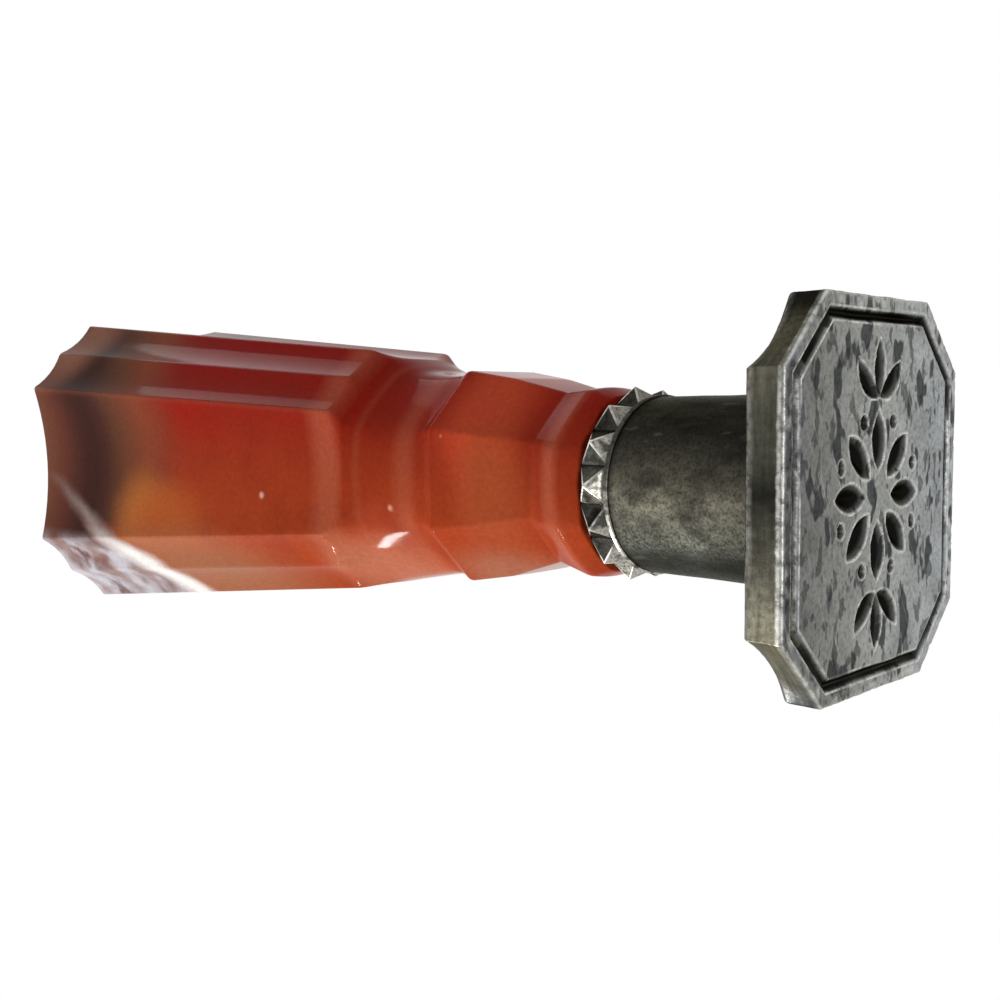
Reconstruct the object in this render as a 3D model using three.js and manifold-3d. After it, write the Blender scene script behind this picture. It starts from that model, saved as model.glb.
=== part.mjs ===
// Desk seal: a cut and fluted stone handle in a silver ferrule with an engraved silver seal plate.
// Millimetres, +Z up. The origin is the middle of the engraved face, which lies in the plane z = 0
// and looks down. The plate's long side runs along X, and the handle stands straight up.
import * as THREE from "three";
import { mergeVertices } from "three/addons/utils/BufferGeometryUtils.js";
import Module from "manifold-3d";

// Seal plate
const plateLength = 21.4;
const plateWidth = 19.0;
const plateThickness = 2.3;
const plateCornerCut = 3.9; // length that a cut corner takes off each side
const faceEdgeBevel = 0.18;
const backEdgeBevel = 0.3;
const cornerHollow = 0.5; // how far the cut corners are filed hollow at the back
const cornerSteps = 6;

// Border groove round the seal face
const borderWidth = 0.75;
const grooveWidth = 0.7;
const grooveDepth = 0.35;

// Engraving: a rosette between two leaf sprays, all in V-cuts
const petalCount = 8;
const petalInnerRadius = 1.35; // leaves a flat button in the middle
const petalLength = 3.3;
const petalWidth = 1.55;
const petalDepth = 0.5;
const dotRadius = 0.42;
const dotDepth = 0.4;
const dotInset = 0.35; // dots stand between the petals, this far in from their tips
const dotSides = 16;
const sprayLeafLength = 3.2;
const sprayLeafWidth = 1.25;
const sprayLeafDepth = 0.45;
const sprayLeafAngle = 48; // degrees between the leaves of a spray
const sprayLeafBend = 42; // degrees that an outer leaf turns back along its length
const sprayMargin = 0.75; // from the tip of a spray to the border groove
const leafSteps = 10;

// Ferrule tube, soldered upright on the back of the plate
const ferruleRadius = 5.6;
const ferruleLength = 12.05;
const ferruleWall = 0.75;
const filletLeg = 0.9;
const filletGap = 0.06; // between the solder's inner face and the tube
const filletSteps = 6;

// Toothed collar on the end of the ferrule
const collarHeight = 2.55;
const collarRimProud = 0.12; // the rim stands this much outside the ferrule
const collarRimHeight = 0.35;
const collarBandStep = 0.4; // the band behind the teeth lies this much inside the ferrule
const toothCount = 14;
const toothSides = 4;
const toothNotchRise = 0.15; // bottom of the notches above the band
const toothTipRise = 1.25; // tips of the teeth above the band
const toothRoot = 0.28; // how deep a tooth is rooted in the band

// Cement cup that holds the handle's tenon
const cementFloor = 1.5;
const cementWall = 0.65;
const cementGap = 0.3; // to the ferrule outside and to the tenon inside
const cementTopGap = 1.0; // below the shoulder of the handle

// Stone handle: each cut section stands by its rise above the one below, and has half widths across X.
// It is cut by hand: a section may stand off the axis by its shift, run lower towards +X by its fall,
// higher at the +X panel by its lift, or higher towards +Y by its lean.
const footOverhang = 0.4; // foot of the stone over the band of the collar
const footBulge = 0.6;
const footRoll = { rise: 1.6, panel: 2.5, round: 0.5 };
const lowerNotch = { rise: 2.5, halfWidth: 5.65, panel: 2.5, shift: 0.3, fall: 0.3 };
const blockBottom = { rise: 4.2, halfWidth: 6.85, panel: 3.05, shift: 0.15, fall: 0.2 };
const blockTop = { rise: 3.9, halfWidth: 7.5, panel: 3.5, shift: 0.15 };
const upperNotch = { rise: 0.7, halfWidth: 7.2, panel: 3.3, shift: 0.15 };
const shoulderLow = { rise: 2.4, halfWidth: 7.45, panel: 3.3, round: 0.2, shift: 0.15, lift: 2.6 };
const shoulderHigh = { rise: 4.1, halfWidth: 8.1, panel: 3.5, round: 0.35, shift: 0.05, lean: 0.3 };
const girdle = { rise: 2.1, halfWidth: 8.7, panel: 3.8, round: 0.2, shift: 0.15, fall: 0.3, lean: 0.8 };
const fluteFoot = { rise: 1.9, halfWidth: 9.3, panel: 4.65, shift: 0.25, fall: 1.0, lean: 1.4 };
const fluteHead = { rise: 41.8, halfWidth: 13.95, panel: 7.55 };
const liftStart = 0.42; // share of the half width where a lift begins
const handleDepthRatio = 0.95; // the handle is a little flatter across Y than across X
const wideFluteHollow = 1.0; // at the head, and in proportion lower down
const cornerFluteHollow = 0.38;
const cornerRidgeRise = 0.36; // middle ridge of each corner above its chord
const tableInset = 1.9;
const tableRise = 1.2;
const wideFluteSteps = 6;
const cornerFluteSteps = 3;

const roundSteps = toothCount * 6;
const cutOvershoot = 0.4; // how far a cutting body stands out of the face that it cuts

const wasm = await Module();
wasm.setup();

// Leaves only shared positions on a geometry and drops the faces that a lathe folds flat on its axis,
// so that every edge is used by exactly two faces
function welded(geometry) {
  geometry.deleteAttribute("normal");
  geometry.deleteAttribute("uv");
  const merged = mergeVertices(geometry);
  const corners = Array.from(merged.index.array);
  const faces = [];
  for (let first = 0; first < corners.length; first += 3) {
    const face = corners.slice(first, first + 3);
    if (new Set(face).size === 3) faces.push(...face);
  }
  merged.setIndex(faces);
  return merged;
}

function toSolid(geometry) {
  const shape = welded(geometry);
  const vertProperties = new Float32Array(shape.attributes.position.array);
  const triVerts = new Uint32Array(shape.index.array);
  return new wasm.Manifold(new wasm.Mesh({ numProp: 3, vertProperties, triVerts }));
}

function toGeometry(solid) {
  const mesh = solid.getMesh();
  const geometry = new THREE.BufferGeometry();
  geometry.setAttribute("position", new THREE.BufferAttribute(new Float32Array(mesh.vertProperties), 3));
  geometry.setIndex(Array.from(mesh.triVerts));
  return geometry;
}

// Joins rings of equal count into one closed body. Each ring runs anticlockwise seen from its far end.
function loft(rings) {
  const count = rings[0].length;
  const middle = (ring) => ring.reduce((sum, point) => sum.add(point), new THREE.Vector3()).divideScalar(count);
  const points = [...rings.flat(), middle(rings[0]), middle(rings.at(-1))];
  const firstMiddle = points.length - 2;
  const lastMiddle = points.length - 1;
  const lastRing = (rings.length - 1) * count;
  const faces = [];
  for (let side = 0; side < count; side += 1) {
    const next = (side + 1) % count;
    faces.push(firstMiddle, next, side);
    faces.push(lastMiddle, lastRing + side, lastRing + next);
    for (let base = 0; base < lastRing; base += count) {
      faces.push(base + side, base + next, base + count + next);
      faces.push(base + side, base + count + next, base + count + side);
    }
  }
  const geometry = new THREE.BufferGeometry().setFromPoints(points);
  geometry.setIndex(faces);
  return geometry;
}

// Turns an outline of [radius, height] pairs, given anticlockwise, round the Z axis.
// The outline closes on itself, unless it starts and ends on the axis.
function turned(outline) {
  const closing = outline[0][0] > 0 ? [outline[0]] : [];
  const profile = [...outline, ...closing].map(([radius, height]) => new THREE.Vector2(radius, height));
  return welded(new THREE.LatheGeometry(profile, roundSteps).rotateX(Math.PI / 2));
}

// Points from one corner towards the next, bowed inwards by the hollow. The next corner is left out.
function hollowSide(from, to, hollow, steps) {
  const along = to.clone().sub(from);
  const inward = new THREE.Vector2(-along.y, along.x).normalize();
  return Array.from({ length: steps }, (_, step) => {
    const share = step / steps;
    const bow = hollow * 4 * share * (1 - share);
    return from.clone().addScaledVector(along, share).addScaledVector(inward, bow);
  });
}

// Seal plate

const fieldInset = borderWidth + grooveWidth;

// Outline of the plate, set in from its edge, with its cut corners filed hollow
function plateRing(inset, height, hollow = 0) {
  const halfLength = plateLength / 2 - inset;
  const halfWidth = plateWidth / 2 - inset;
  const cut = plateCornerCut - inset * (2 - Math.SQRT2);
  const points = [[1, 1], [-1, 1], [-1, -1], [1, -1]].flatMap(([signX, signY]) => {
    const onLongEnd = new THREE.Vector2(signX * halfLength, signY * (halfWidth - cut));
    const onSide = new THREE.Vector2(signX * (halfLength - cut), signY * halfWidth);
    const [from, to] = signX * signY > 0 ? [onLongEnd, onSide] : [onSide, onLongEnd];
    return [...hollowSide(from, to, hollow, cornerSteps), to];
  });
  return points.map((point) => new THREE.Vector3(point.x, point.y, height));
}

function plateBlank() {
  return loft([
    plateRing(fieldInset, 0),
    plateRing(borderWidth + grooveWidth / 2, grooveDepth),
    plateRing(borderWidth, 0),
    plateRing(faceEdgeBevel, 0),
    plateRing(0, faceEdgeBevel),
    plateRing(0, plateThickness - backEdgeBevel, cornerHollow),
    plateRing(backEdgeBevel, plateThickness, cornerHollow),
  ]);
}

// A pointed leaf of V section, cut upwards into the face from the origin along X.
// Its spine turns by the bend, in degrees, from end to end.
function leafCut(length, width, depth, bend = 0) {
  const slope = width / 2 / depth;
  const stepLength = length / leafSteps;
  const spine = new THREE.Vector2(0, 0);
  const rings = [];
  for (let step = 0; step <= leafSteps; step += 1) {
    const share = step / leafSteps;
    const heading = THREE.MathUtils.degToRad(bend) * (share - 0.5);
    const across = new THREE.Vector2(-Math.sin(heading), Math.cos(heading));
    const reach = depth * Math.sin(Math.PI * share);
    const half = slope * (reach + cutOvershoot);
    rings.push([
      new THREE.Vector3(spine.x - across.x * half, spine.y - across.y * half, -cutOvershoot),
      new THREE.Vector3(spine.x + across.x * half, spine.y + across.y * half, -cutOvershoot),
      new THREE.Vector3(spine.x, spine.y, reach),
    ]);
    spine.x += Math.cos(heading) * stepLength;
    spine.y += Math.sin(heading) * stepLength;
  }
  return loft(rings);
}

// A round pit with a pointed bottom
function dotCut() {
  const height = dotDepth + cutOvershoot;
  const dot = new THREE.ConeGeometry(dotRadius * height / dotDepth, height, dotSides);
  return dot.rotateX(Math.PI / 2).translate(0, 0, height / 2 - cutOvershoot);
}

function rosetteCuts() {
  const turn = 2 * Math.PI / petalCount;
  const dotCircle = petalInnerRadius + petalLength - dotInset;
  return Array.from({ length: petalCount }, (_, petal) => [
    leafCut(petalLength, petalWidth, petalDepth).translate(petalInnerRadius, 0, 0).rotateZ(petal * turn),
    dotCut().translate(dotCircle, 0, 0).rotateZ((petal + 0.5) * turn),
  ]).flat();
}

// Three leaves from one point, towards one end of the plate
function sprayCuts(endAngle) {
  const start = plateLength / 2 - fieldInset - sprayMargin - sprayLeafLength;
  return [-1, 0, 1].map((side) => {
    const leaf = leafCut(sprayLeafLength, sprayLeafWidth, sprayLeafDepth, -side * sprayLeafBend);
    leaf.rotateZ(THREE.MathUtils.degToRad(side * sprayLeafAngle));
    return leaf.translate(start, 0, 0).rotateZ(endAngle);
  });
}

function sealPlate() {
  const cuts = [...rosetteCuts(), ...sprayCuts(0), ...sprayCuts(Math.PI)];
  const engraved = cuts.reduce((plate, cut) => plate.subtract(toSolid(cut)), toSolid(plateBlank()));
  return toGeometry(engraved);
}

// Ferrule and collar

const ferruleTop = plateThickness + ferruleLength;
const ferruleBore = ferruleRadius - ferruleWall;
const collarTop = ferruleTop + collarHeight;
const bandRadius = ferruleRadius - collarBandStep;

// Solder runs out to nothing both up the tube and along the plate
function solderFillet() {
  const inner = ferruleRadius + filletGap;
  const outline = [[inner, plateThickness], [inner + filletLeg, plateThickness]];
  for (let step = 1; step <= filletSteps; step += 1) {
    const angle = (step / filletSteps) * Math.PI / 2;
    const radius = inner + filletLeg * (1 - Math.sin(angle));
    outline.push([radius, plateThickness + filletLeg * (1 - Math.cos(angle))]);
  }
  return turned(outline);
}

function ferruleTube() {
  return turned([
    [ferruleBore, plateThickness],
    [ferruleRadius, plateThickness],
    [ferruleRadius, ferruleTop],
    [ferruleBore, ferruleTop],
  ]);
}

// One pyramid of the collar, pointing along X. Its foot is as wide as the pitch at the notches.
function collarTooth() {
  const notchRadius = bandRadius + toothNotchRise;
  const seat = notchRadius * Math.cos(Math.PI / toothCount);
  const tip = bandRadius + toothTipRise;
  const growth = (tip - seat + toothRoot) / (tip - seat);
  const halfPitch = notchRadius * Math.sin(Math.PI / toothCount);
  const halfHeight = (collarHeight - collarRimHeight) / 2;
  const tooth = new THREE.ConeGeometry(Math.SQRT2, tip - seat + toothRoot, toothSides);
  tooth.rotateY(Math.PI / toothSides).rotateZ(-Math.PI / 2);
  tooth.scale(1, halfHeight * growth, halfPitch * growth).rotateX(Math.PI / 2);
  return tooth.translate((tip + seat - toothRoot) / 2, 0, collarTop - halfHeight);
}

function toothedCollar() {
  const rimRadius = ferruleRadius + collarRimProud;
  const rimTop = ferruleTop + collarRimHeight;
  const band = turned([
    [ferruleBore, ferruleTop],
    [rimRadius, ferruleTop],
    [rimRadius, rimTop],
    [bandRadius, rimTop],
    [bandRadius, collarTop],
    [ferruleBore, collarTop],
  ]);
  const reach = rimRadius + toothTipRise;
  const limits = turned([
    [ferruleBore, ferruleTop],
    [reach, ferruleTop],
    [reach, collarTop],
    [ferruleBore, collarTop],
  ]);
  let collar = toSolid(band);
  for (let tooth = 0; tooth < toothCount; tooth += 1) {
    const angle = ((tooth + 0.5) / toothCount) * 2 * Math.PI;
    collar = collar.add(toSolid(collarTooth().rotateZ(angle)));
  }
  return toGeometry(collar.intersect(toSolid(limits)));
}

// Cement and handle

const cementRadius = ferruleBore - cementGap;
const cementBore = cementRadius - cementWall;
const tenonRadius = cementBore - cementGap;
const tenonEnd = plateThickness + cementFloor;

function cementFill() {
  const top = collarTop - cementTopGap;
  return turned([
    [0, plateThickness],
    [cementRadius, plateThickness],
    [cementRadius, top],
    [cementBore, top],
    [cementBore, tenonEnd],
    [0, tenonEnd],
  ]);
}

// Section of the handle: four wide sides with a two-faced corner between each pair.
// Round draws the corners in towards a circle, and flute scales the hollows.
function handleRing(section, base, flute = 0) {
  const { halfWidth, panel, round = 0, shift = 0, fall = 0, lift = 0, lean = 0 } = section;
  const circle = (halfWidth + Math.hypot(halfWidth, panel)) / 2;
  const points = [0, 1, 2, 3].flatMap((side) => {
    const start = new THREE.Vector2(halfWidth, -panel);
    const end = new THREE.Vector2(halfWidth, panel);
    const nextStart = new THREE.Vector2(panel, halfWidth);
    const ridge = end.clone().add(nextStart).divideScalar(2);
    ridge.setLength(ridge.length() + cornerRidgeRise * flute);
    return [
      ...hollowSide(start, end, wideFluteHollow * flute, wideFluteSteps),
      ...hollowSide(end, ridge, cornerFluteHollow * flute, cornerFluteSteps),
      ...hollowSide(ridge, nextStart, cornerFluteHollow * flute, cornerFluteSteps),
    ].map((point) => point.rotateAround(new THREE.Vector2(), side * Math.PI / 2));
  });
  return points.map((point) => {
    const drawn = point.clone().lerp(point.clone().setLength(circle), round);
    const across = drawn.x / halfWidth;
    const lifted = lift * THREE.MathUtils.clamp((across - liftStart) / (1 - liftStart), 0, 1);
    const height = base - fall * across + lean * drawn.y / halfWidth + lifted;
    return new THREE.Vector3(drawn.x + shift, drawn.y * handleDepthRatio, height);
  });
}

// A circle whose points stand at the same angles as those of a ring
function tenonRing(ring, height) {
  return ring.map((point) => {
    const round = new THREE.Vector2(point.x, point.y).setLength(tenonRadius);
    return new THREE.Vector3(round.x, round.y, height);
  });
}

function stoneHandle() {
  const footEdge = bandRadius + footOverhang;
  const foot = handleRing({ ...footRoll, halfWidth: footEdge }, collarTop);
  const rings = [tenonRing(foot, tenonEnd), tenonRing(foot, collarTop), foot];
  let base = collarTop;
  const roll = { ...footRoll, halfWidth: footEdge + footBulge };
  const block = [lowerNotch, blockBottom, blockTop, upperNotch];
  for (const section of [roll, ...block, shoulderLow, shoulderHigh, girdle]) {
    base += section.rise;
    rings.push(handleRing(section, base));
  }
  base += fluteFoot.rise;
  rings.push(handleRing(fluteFoot, base, fluteFoot.halfWidth / fluteHead.halfWidth));
  base += fluteHead.rise;
  rings.push(handleRing(fluteHead, base, 1));
  const table = {
    halfWidth: fluteHead.halfWidth - tableInset,
    panel: fluteHead.panel - tableInset * Math.tan(Math.PI / 8),
  };
  rings.push(handleRing(table, base + tableRise, 1));
  return loft(rings);
}

const finishes = {
  agedSilver: { color: 0x6f6c64, roughness: 0.42, metalness: 1.0 },
  oxidisedSilver: { color: 0x4b4a45, roughness: 0.5, metalness: 1.0 },
  solder: { color: 0x5b5953, roughness: 0.6, metalness: 1.0 },
  cement: { color: 0xb9ab93, roughness: 0.9, metalness: 0.0 },
  carnelian: { color: 0xa5391d, roughness: 0.12, metalness: 0.0 },
};

function piece(name, geometry, finish) {
  const mesh = new THREE.Mesh(geometry, new THREE.MeshStandardMaterial(finishes[finish]));
  mesh.name = name;
  return mesh;
}

const seal = new THREE.Group();
seal.add(
  piece("seal_plate", sealPlate(), "agedSilver"),
  piece("solder_fillet", solderFillet(), "solder"),
  piece("ferrule_tube", ferruleTube(), "oxidisedSilver"),
  piece("toothed_collar", toothedCollar(), "agedSilver"),
  piece("cement_fill", cementFill(), "cement"),
  piece("stone_handle", stoneHandle(), "carnelian"),
);

export default seal;
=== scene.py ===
import math

import bmesh
import bpy
import numpy as np
from mathutils import Matrix, Quaternion, Vector, noise


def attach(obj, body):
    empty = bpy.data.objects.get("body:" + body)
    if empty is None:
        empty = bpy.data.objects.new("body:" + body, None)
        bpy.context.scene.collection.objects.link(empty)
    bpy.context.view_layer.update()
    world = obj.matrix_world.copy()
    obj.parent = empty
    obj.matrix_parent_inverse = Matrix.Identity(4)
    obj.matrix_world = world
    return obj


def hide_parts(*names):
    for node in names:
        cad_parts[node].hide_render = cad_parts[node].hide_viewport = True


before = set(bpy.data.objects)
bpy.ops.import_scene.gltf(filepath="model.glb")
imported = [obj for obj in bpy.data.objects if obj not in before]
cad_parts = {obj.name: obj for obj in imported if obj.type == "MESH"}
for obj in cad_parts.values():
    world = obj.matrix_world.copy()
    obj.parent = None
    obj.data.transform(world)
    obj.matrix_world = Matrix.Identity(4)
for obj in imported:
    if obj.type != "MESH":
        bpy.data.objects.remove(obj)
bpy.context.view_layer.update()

# Desk seal with a carnelian handle and an aged silver mount. Shapes are made in millimetres in the
# frame of the CAD model, and scaled to metres when a piece is finished.
mm = 0.001
easing = {"interpolation_type": "SMOOTHSTEP"}  # for a map range that eases in and out

print("stage: helpers")


def clamp(value, low=0.0, high=1.0):
    return min(high, max(low, value))


def linearColour(hexCode):
    # sRGB hex to the linear colour that a socket takes
    values = [int(hexCode[i:i + 2], 16) / 255 for i in (1, 3, 5)]
    return [v / 12.92 if v <= 0.04045 else ((v + 0.055) / 1.055) ** 2.4 for v in values] + [1.0]


def fillInputs(node, inputs):
    # A dictionary fills inputs by name, and a list fills the ones in use in order. Each takes a node, whose
    # first output in use is linked, an output, a hex colour or a value.
    if isinstance(inputs, dict):
        pairs = [(node.inputs[name], value) for name, value in inputs.items()]
    else:
        pairs = list(zip([socket for socket in node.inputs if socket.enabled], inputs))
    for socket, value in pairs:
        if isinstance(value, bpy.types.Node):
            value = next(output for output in value.outputs if output.enabled)
        if isinstance(value, bpy.types.NodeSocket):
            node.id_data.links.new(value, socket)
        else:
            socket.default_value = linearColour(value) if isinstance(value, str) else value


def addNode(tree, kind, inputs=(), stops=(), **settings):
    # a node with its settings, its inputs and, on a colour ramp, its stops. All mixes here are of colours.
    node = tree.nodes.new("ShaderNode" + kind)
    if kind == "Mix":
        node.data_type = "RGBA"
    for name, value in settings.items():
        setattr(node, name, value)
    fillInputs(node, inputs)
    for _ in stops[2:]:
        node.color_ramp.elements.new(1.0)
    for index, (at, colour) in enumerate(stops):
        element = node.color_ramp.elements[index]
        element.position = at
        element.color = linearColour(colour) if isinstance(colour, str) else (colour, colour, colour, 1.0)
    return node


def span(tones):
    # where a list of tones starts and ends
    return tones[0][0], tones[-1][0]


def spread(tones):
    # the same tones with their places as shares of the span, for a colour ramp
    low, high = span(tones)
    return [((at - low) / (high - low), tone) for at, tone in tones]


def newMaterial(name):
    material = bpy.data.materials.new(name)
    material.use_nodes = True
    tree = material.node_tree
    tree.nodes.clear()
    shader = addNode(tree, "BsdfPrincipled")
    addNode(tree, "OutputMaterial", {"Surface": shader})
    return material, tree, shader


def millimetres(tree):
    # object coordinates counted in millimetres
    place = addNode(tree, "TexCoord")
    return addNode(tree, "Mapping", {"Vector": place.outputs["Object"], "Scale": (1 / mm,) * 3})


def newObject(name, data):
    thing = bpy.data.objects.new(name, data)
    bpy.context.scene.collection.objects.link(thing)
    return thing


def pointLayers(bm, *names):
    return [bm.verts.layers.float.new(name) for name in names]


def finishPiece(bm, name, material, node, sharpAngle=None):
    # outward faces, metres, and its place among the CAD nodes
    bmesh.ops.remove_doubles(bm, verts=bm.verts, dist=0.0005)
    bmesh.ops.recalc_face_normals(bm, faces=bm.faces)
    bmesh.ops.scale(bm, vec=(mm, mm, mm), verts=bm.verts)
    mesh = bpy.data.meshes.new(name)
    bm.to_mesh(mesh)
    bm.free()
    mesh.shade_smooth()
    if sharpAngle:
        mesh.set_sharp_from_angle(angle=math.radians(sharpAngle))
    piece = newObject(name, mesh)
    mesh.materials.append(material)
    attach(piece, "root")
    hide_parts(node)
    return piece


print("stage: camera, floor and light")

camera = {
    "place": (4.77, -55.6, -28.1),  # mm
    "right": (-0.00974, 0.71866, -0.6953),
    "up": (0.99665, 0.06347, 0.05163),
    "back": (0.08123, -0.69246, -0.71687),
    "lens": 39.244,
    "sensor": 36,
    "clip": (0.002, 20),  # m
}
cameraData = bpy.data.cameras.new("camera")
cameraData.lens, cameraData.sensor_width = camera["lens"], camera["sensor"]
cameraData.clip_start, cameraData.clip_end = camera["clip"]
cameraObject = newObject("camera", cameraData)
axes = Matrix((camera["right"], camera["up"], camera["back"])).transposed().to_4x4()
cameraObject.matrix_world = Matrix.Translation(Vector(camera["place"]) * mm) @ axes
bpy.context.scene.camera = cameraObject

studio = {
    "ambient": 0.45,
    "floorSize": 3.0,  # m
    "floorFade": (0.2, 0.7),  # m from the seal, where the board clears into the white behind it
    "floorColour": "#eeeeec",
    "floorRoughness": 0.9,
    "aimHeight": 0.03,  # m above the face, where the lamps point
    "lamps": [  # name, direction from the seal, distance m, size m, turn in degrees, power W
        ("keyLamp", (-0.60, -0.65, 0.30), 0.55, (0.50, 0.50), 0, 2.2),
        ("frontLamp", (-0.05, -0.50, -0.86), 0.60, (0.20, 0.10), 0, 0.6),
        ("topLamp", (0.645, 0.075, 0.755), 0.70, (0.26, 0.18), 0, 0.45),
        ("smallLamp", (-0.77, -0.23, 0.59), 0.60, (0.10, 0.027), 24, 1.4),
    ],
}

world = bpy.data.worlds.new("studio")
world.use_nodes = True
tree = world.node_tree
tree.nodes.clear()
ray = addNode(tree, "LightPath").outputs
seen = addNode(tree, "Math", [ray["Is Camera Ray"], ray["Is Glossy Ray"]], operation="ADD")
seen = addNode(tree, "Math", [seen, ray["Is Transmission Ray"]], operation="ADD", use_clamp=True)
strength = addNode(tree, "MapRange", [seen, 0, 1, studio["ambient"], 1])
sky = addNode(tree, "Background", {"Color": "#ffffff", "Strength": strength})
addNode(tree, "OutputWorld", {"Surface": sky})
bpy.context.scene.world = world

for name, direction, distance, size, turn, power in studio["lamps"]:
    lamp = bpy.data.lights.new(name, "AREA")
    lamp.shape = "RECTANGLE"
    lamp.size, lamp.size_y = size
    lamp.energy = power
    lampObject = newObject(name, lamp)
    aim = Vector(direction).normalized()
    lampObject.location = aim * distance + Vector((0, 0, studio["aimHeight"]))
    spin = Quaternion((0, 0, 1), math.radians(turn))
    lampObject.rotation_euler = (aim.to_track_quat("Z", "Y") @ spin).to_euler()

# The floor lies level with the seal face. Only what looks down on it meets it, so that the face is lit
# and seen from below.
bm = bmesh.new()
bmesh.ops.create_grid(bm, x_segments=1, y_segments=1, size=studio["floorSize"] / 2)
floorMesh = bpy.data.meshes.new("floor")
bm.to_mesh(floorMesh)
bm.free()
floor = newObject("floor", floorMesh)
material, tree, board = newMaterial("matt_white_board")
fillInputs(board, {"Base Color": studio["floorColour"], "Roughness": studio["floorRoughness"]})
side = addNode(tree, "NewGeometry").outputs
away = addNode(tree, "VectorMath", [side["Position"]], operation="LENGTH")
faded = addNode(tree, "MapRange", [away, *studio["floorFade"]], **easing)
faded = addNode(tree, "Math", [faded, side["Backfacing"]], operation="MAXIMUM")
clear = addNode(tree, "BsdfTransparent")
mix = addNode(tree, "MixShader", [faded, board, clear])
fillInputs(tree.nodes["Material Output"], {"Surface": mix})
floorMesh.materials.append(material)
floor.visible_diffuse = floor.visible_glossy = False
floor.visible_transmission = floor.visible_shadow = False

print("stage: stone handle")

handle = {
    "foot": 16.9,  # mm, where the stone leaves the collar
    "footCut": {"halfWidth": 5.6, "panel": 2.5, "round": 0.5},
    "footEdge": 0.2,
    "tenonRadius": 3.6,
    "tenonEnd": 3.8,
    # Each cut section stands by its rise above the last. It may stand off the axis by its shift, run lower
    # towards +X by its fall, higher at the +X panel by its lift and higher towards +Y by its lean. Edge is
    # the radius that it is polished to, and soft rings above it make the rounded shoulder.
    "sections": [
        {"rise": 1.6, "halfWidth": 6.2, "panel": 2.5, "round": 0.5, "edge": 0.6},
        {"rise": 2.5, "halfWidth": 5.65, "panel": 2.5, "shift": 0.3, "fall": 0.3, "edge": 0.3},
        {"rise": 4.2, "halfWidth": 6.85, "panel": 3.05, "round": 0.05, "shift": 0.15, "fall": 0.2,
         "edge": 0.5},
        {"rise": 3.9, "halfWidth": 7.5, "panel": 3.5, "shift": 0.15, "edge": 0.3},
        {"rise": 0.7, "halfWidth": 7.2, "panel": 3.3, "shift": 0.15, "edge": 0.3, "softRings": 3},
        {"rise": 2.4, "halfWidth": 7.45, "panel": 3.3, "round": 0.2, "shift": 0.15, "lift": 2.6,
         "softRings": 5},
        {"rise": 4.1, "halfWidth": 8.1, "panel": 3.5, "round": 0.35, "shift": 0.05, "lean": 0.3,
         "softRings": 3},
        {"rise": 2.1, "halfWidth": 8.7, "panel": 3.8, "round": 0.2, "shift": 0.15, "fall": 0.3, "lean": 0.8,
         "edge": 0.3},
    ],
    "fluteFoot": {"rise": 1.9, "halfWidth": 9.3, "panel": 4.65, "shift": 0.25, "fall": 1.0, "lean": 1.4,
                  "edge": 0.6},
    "fluteHead": {"rise": 41.8, "halfWidth": 13.95, "panel": 7.55, "fall": -0.4, "edge": 0.3},
    "depthRatio": 0.95,
    "liftStart": 0.42,  # share of the half width where a lift begins
    "wideHollow": 1.0,
    "cornerHollow": 0.38,
    "ridgeRise": 0.36,
    "footDip": 0.7,  # how far a wide flute runs down past its corners at the foot
    "tableInset": 1.9,
    "tableRise": 1.2,
    "wideSteps": 12,
    "cornerSteps": 6,
    "fluteRings": 15,
    "cornerRadius": 0.35,
    "ridgeRadius": 0.35,
    "ridgeLight": 0.4,  # painted highlight along a ridge, where a flute's corner has 1
    "softRounds": 14,
    "edgeSegments": 4,
}


def bowed(start, end, hollow, dip, steps):
    # points from start towards end, bowed in by the hollow and down by the dip
    along = end - start
    inward = Vector((-along.y, along.x)).normalized()
    points = []
    for step in range(steps):
        share = step / steps
        bow = 4 * share * (1 - share)
        point = start + along * share + inward * hollow * bow
        points.append((point.x, point.y, -dip * bow))
    return points


def handlePoints(section, base, flute=0.0, dip=0.0):
    halfWidth, panel = section["halfWidth"], section["panel"]
    offsets = ("round", "shift", "fall", "lift", "lean")
    rounding, shift, fall, lift, lean = [section.get(offset, 0) for offset in offsets]
    ridge = (Vector((halfWidth, panel)) + Vector((panel, halfWidth))) / 2
    ridge *= (ridge.length + handle["ridgeRise"] * flute) / ridge.length
    wide, corner = handle["wideHollow"] * flute, handle["cornerHollow"] * flute
    quarter = bowed(Vector((halfWidth, -panel)), Vector((halfWidth, panel)), wide, dip, handle["wideSteps"])
    quarter += bowed(Vector((halfWidth, panel)), ridge, corner, 0, handle["cornerSteps"])
    quarter += bowed(ridge, Vector((panel, halfWidth)), corner, 0, handle["cornerSteps"])
    circle = (halfWidth + math.hypot(halfWidth, panel)) / 2
    start = handle["liftStart"]
    points = []
    for turn in range(4):
        for x, y, z in quarter:
            point = Matrix.Rotation(turn * math.pi / 2, 2) @ Vector((x, y))
            point = point.lerp(point.normalized() * circle, rounding)
            across, back = point.x / halfWidth, point.y / halfWidth
            height = base + z - fall * across + lean * back
            height += lift * clamp((across - start) / (1 - start))
            points.append(Vector((point.x + shift, point.y * handle["depthRatio"], height)))
    return points


def ringsBetween(below, above, count):
    shares = [step / (count + 1) for step in range(1, count + 1)]
    return [[a.lerp(b, share) for a, b in zip(below, above)] for share in shares]


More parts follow.
